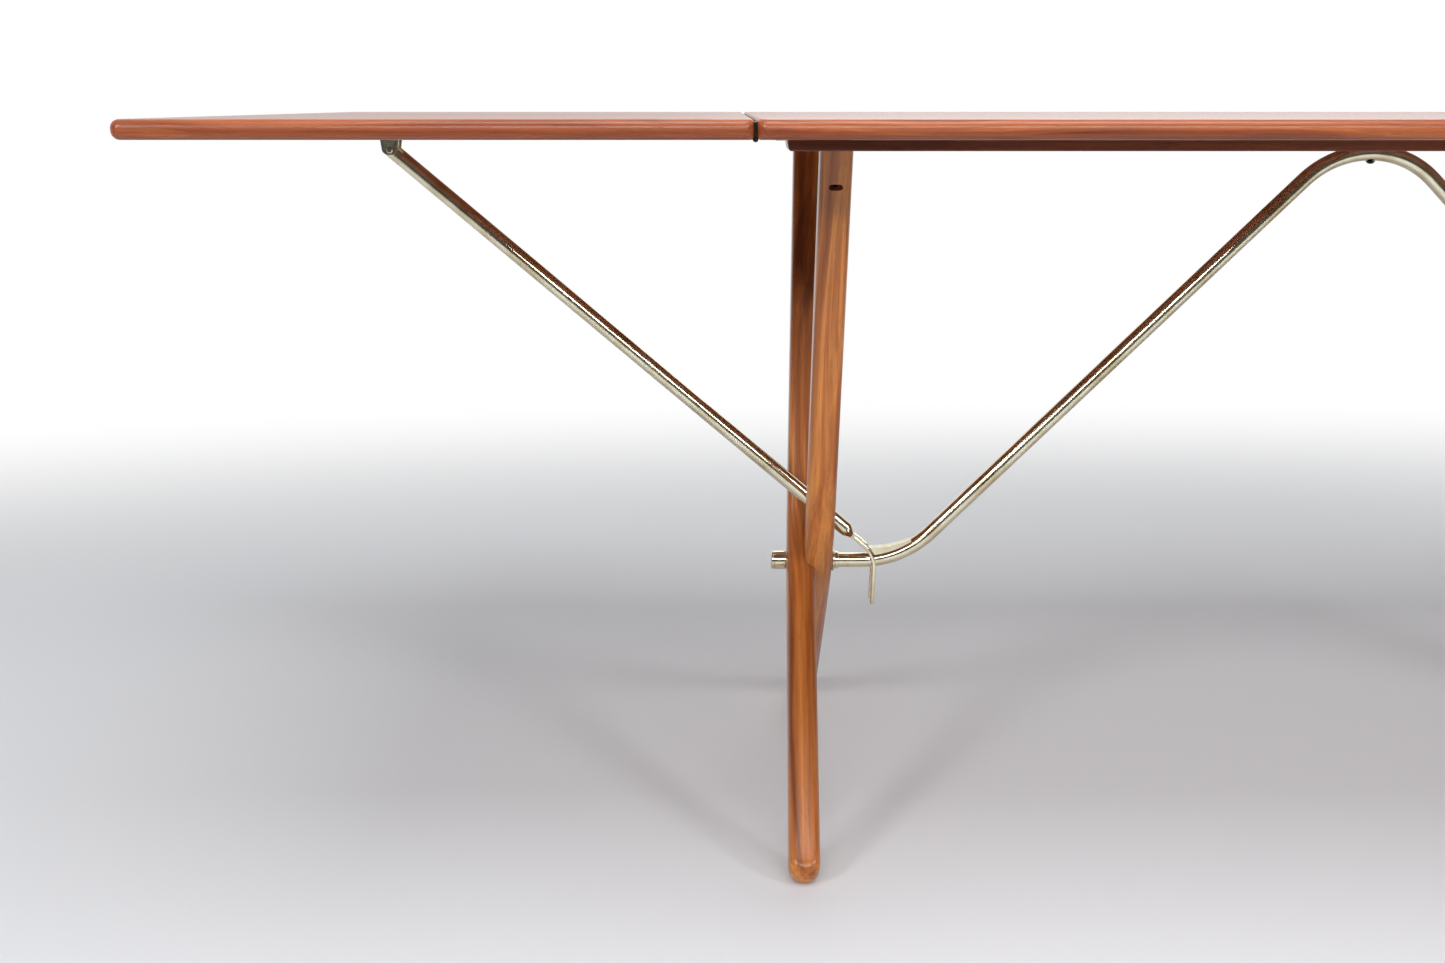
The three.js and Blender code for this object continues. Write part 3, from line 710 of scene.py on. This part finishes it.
def tine(side):
    path = strap_path(FORK_SOLID - 1.5 * MM, FORK_TIP_Z)
    count = len(path)
    wide = (FORK_WIDTH - FORK_SLOT) / 4
    centre = side * (FORK_WIDTH + FORK_SLOT) / 4

    end = path.pop()
    path += [path[-1].lerp(end, share) for share in TIP_SHARES]

    def section(i):
        taper = TIP_TAPERS[i - count + 1] if i >= count - 1 else 1.0
        bar = rounded_bar(STRAP / 2 * taper, wide * taper, 1.3 * MM * taper, 3)
        return [(up, across + centre) for up, across in bar]

    return sweep_xz("tine", path, section)


def neck():
    """The tube's end closes down to the flat strap."""
    start = STRUT_TUBE + FIT
    length = FORK_SOLID + 2 * MM
    rings = []
    place = strut_place()
    steps = 12
    count = 40
    for i in range(steps + 1):
        t = i / steps
        blend = t * t * (3 - 2 * t)
        ring = []
        for j in range(count):
            angle = 2 * math.pi * j / count
            cosine, sine = math.cos(angle), math.sin(angle)
            power = 2 / (2 + 5 * blend)
            flat_x = math.copysign(abs(cosine) ** power, cosine) * STRAP / 2
            flat_y = math.copysign(abs(sine) ** power, sine) * FORK_WIDTH / 2
            round_x, round_y = (ROD - FIT) * cosine, (ROD - FIT) * sine
            x = round_x * (1 - blend) + flat_x * blend
            y = round_y * (1 - blend) + flat_y * blend
            ring.append(place @ Vector((x, y, start + length * t)))
        rings.append(ring)
    return skin("neck", rings)


def strut_fork(end):
    obj = neck()
    obj.name = f"strut_fork_{end}_strap"
    boolean(obj, "UNION", tine(1), tine(-1))
    if end == "right":
        turn_half(obj)
    return settle(obj, f"strut_{end}", "brass", BRASS, f"strut_fork_{end}")


# ---- CAD pieces with softened edges ----
def softened(node, body, slot, material, width, grain=None, seed=0):
    source = frame["nodes"][node]
    obj = bpy.data.objects.new(f"{node}_soft", source.data.copy())
    bpy.context.scene.collection.objects.link(obj)

    def clean(bm):
        bmesh.ops.remove_doubles(bm, verts=bm.verts, dist=1e-6)
        bmesh.ops.dissolve_limit(bm, angle_limit=math.radians(1), verts=bm.verts, edges=bm.edges)

    edit(obj, clean)
    modifier = obj.modifiers.new("edges", "BEVEL")
    modifier.width = width
    modifier.segments = 3
    modifier.limit_method = "ANGLE"
    modifier.angle_limit = math.radians(32)
    bpy.context.view_layer.update()
    apply_modifiers(obj)
    if grain:
        set_grain(obj, grain, seed)
    return settle(obj, body, slot, material, node)


def grain_along(co):
    return co.x, co.y, co.z


def grain_across(co):
    return co.y, co.x, co.z


# ---- the table ----
board("main_top", "table", (True, True), 1)
board("leaf_left", "leaf_left", (False, True), 2)
board("leaf_right", "leaf_right", (True, False), 3)
# The rails and battens take the darker teak copy, whose colour is painted shade.
softened("rail_front", "table", "teak_shaded", WOOD_PAINTED_SHADE, 1.2 * MM, grain_along, 4)
softened("rail_rear", "table", "teak_shaded", WOOD_PAINTED_SHADE, 1.2 * MM, grain_along, 6)
for number, place in enumerate(("left", "center", "right")):
    softened(f"batten_{place}", "table", "teak_shaded", WOOD_PAINTED_SHADE, 1.2 * MM, grain_across, 7 + 2 * number)
stretcher()
for number, end in enumerate(("left", "right")):
    leg(end, "outer", 20 + 2 * number)
    leg(end, "inner", 21 + 2 * number)
    ramp(end)
    fittings(end)
    strut_tube(end)
    strut_fork(end)
    softened(f"clevis_{end}", f"leaf_{end}", "brass", BRASS, 0.4 * MM)

for name, node in frame["nodes"].items():
    material = None
    if "hinge" in name or "leg_screw" in name or name == "arch_screw":
        material = STEEL
    elif "clevis" in name:
        material = BRASS
    if material:
        node.data.materials.clear()
        node.data.materials.append(material)


# ---- stage, light and camera ----
AMBIENT = 0.22
ROOM_FRONT = 0.08
FLOOR_HALF = 9.0
CAMERA_PLACE = (-0.6673, -1.7397, 0.7337)
CAMERA_DOWN = 12.92
CAMERA_LENS = 41.34


def floor():
    corners = [(x * FLOOR_HALF, y * FLOOR_HALF, 0) for x, y in ((-1, -1), (1, -1), (1, 1), (-1, 1))]
    obj = make_object("floor", corners, [(0, 1, 2, 3)])
    n = Nodes("floor_pale")
    place = n.add("ShaderNodeTexCoord").outputs["Object"]
    scaled = n.stretch(place, (0.55, 1, 1))
    radius = n.add("ShaderNodeVectorMath", {0: scaled}, operation="LENGTH").outputs["Value"]
    far = n.add("ShaderNodeMapRange", {"Value": radius, "From Min": 0.9, "From Max": 2.4},
                interpolation_type="SMOOTHSTEP").outputs["Result"]
    n.set(Base_Color=(*linear(214, 216, 220), 1), Roughness=0.55)
    depth = n.add("ShaderNodeSeparateXYZ", {"Vector": place}).outputs["Y"]
    seen = n.add("ShaderNodeLightPath").outputs["Is Camera Ray"]
    strength = n.math("MAXIMUM", seen, n.range(depth, -0.5, 1.5, ROOM_FRONT, 1.0))
    glow = n.add("ShaderNodeEmission", {"Color": (1, 1, 1, 1), "Strength": strength})
    blend = n.add("ShaderNodeMixShader", {0: far})
    n.feed(blend, 1, n.shader.outputs[0])
    n.feed(blend, 2, glow.outputs[0])
    n.feed(n.tree.nodes["Material Output"], "Surface", blend.outputs[0])
    obj.data.materials.append(n.material)


def area_light(name, place, target, width, height, power):
    data = bpy.data.lights.new(name, "AREA")
    data.shape = "RECTANGLE"
    data.size = width
    data.size_y = height
    data.energy = power
    obj = bpy.data.objects.new(name, data)
    obj.location = place
    aim = Vector(target) - Vector(place)
    obj.rotation_euler = aim.to_track_quat("-Z", "Y").to_euler()
    bpy.context.scene.collection.objects.link(obj)


def world():
    scene_world = bpy.data.worlds.new("studio")
    scene_world.use_nodes = True
    tree = scene_world.node_tree
    background = tree.nodes["Background"]
    background.inputs["Color"].default_value = (1, 1, 1, 1)
    rays = tree.nodes.new("ShaderNodeLightPath")
    place = tree.nodes.new("ShaderNodeTexCoord")
    split = tree.nodes.new("ShaderNodeSeparateXYZ")
    tree.links.new(place.outputs["Generated"], split.inputs["Vector"])
    facing = tree.nodes.new("ShaderNodeMapRange")
    for key, value in (("From Min", -0.3), ("From Max", 0.9), ("To Min", ROOM_FRONT), ("To Max", 1.0)):
        facing.inputs[key].default_value = value
    tree.links.new(split.outputs["Y"], facing.inputs["Value"])
    strength = facing.outputs["Result"]
    for kind, value in (("Is Diffuse Ray", AMBIENT), ("Is Camera Ray", 1.0)):
        choice = tree.nodes.new("ShaderNodeMix")
        tree.links.new(rays.outputs[kind], choice.inputs[0])
        tree.links.new(strength, choice.inputs[2])
        choice.inputs[3].default_value = value
        strength = choice.outputs[0]
    tree.links.new(strength, background.inputs["Strength"])
    bpy.context.scene.world = scene_world


def camera():
    data = bpy.data.cameras.new("camera")
    data.sensor_width = 36
    data.lens = CAMERA_LENS
    obj = bpy.data.objects.new("camera", data)
    obj.location = CAMERA_PLACE
    obj.rotation_euler = (math.radians(90 - CAMERA_DOWN), 0, 0)
    bpy.context.scene.collection.objects.link(obj)
    bpy.context.scene.camera = obj


floor()
world()
area_light("key_left", (-2.9, -2.6, 1.9), (-0.6, 0, 0.3), 0.7, 1.0, 46)
area_light("key_right", (2.2, -2.6, 2.0), (-0.4, 0, 0.3), 0.7, 1.0, 46)
area_light("front_strip", (-0.4, -2.7, 1.45), (-0.4, 0, 0.3), 2.6, 0.22, 34)
area_light("overhead", (-0.4, -1.0, 3.2), (-0.4, 0.2, 0.0), 2.4, 1.4, 54)
area_light("rear_fill", (0.4, 2.8, 2.4), (0, 0, 0.4), 2.2, 1.6, 18)
camera()
bpy.context.scene.view_settings.view_transform = "Standard"
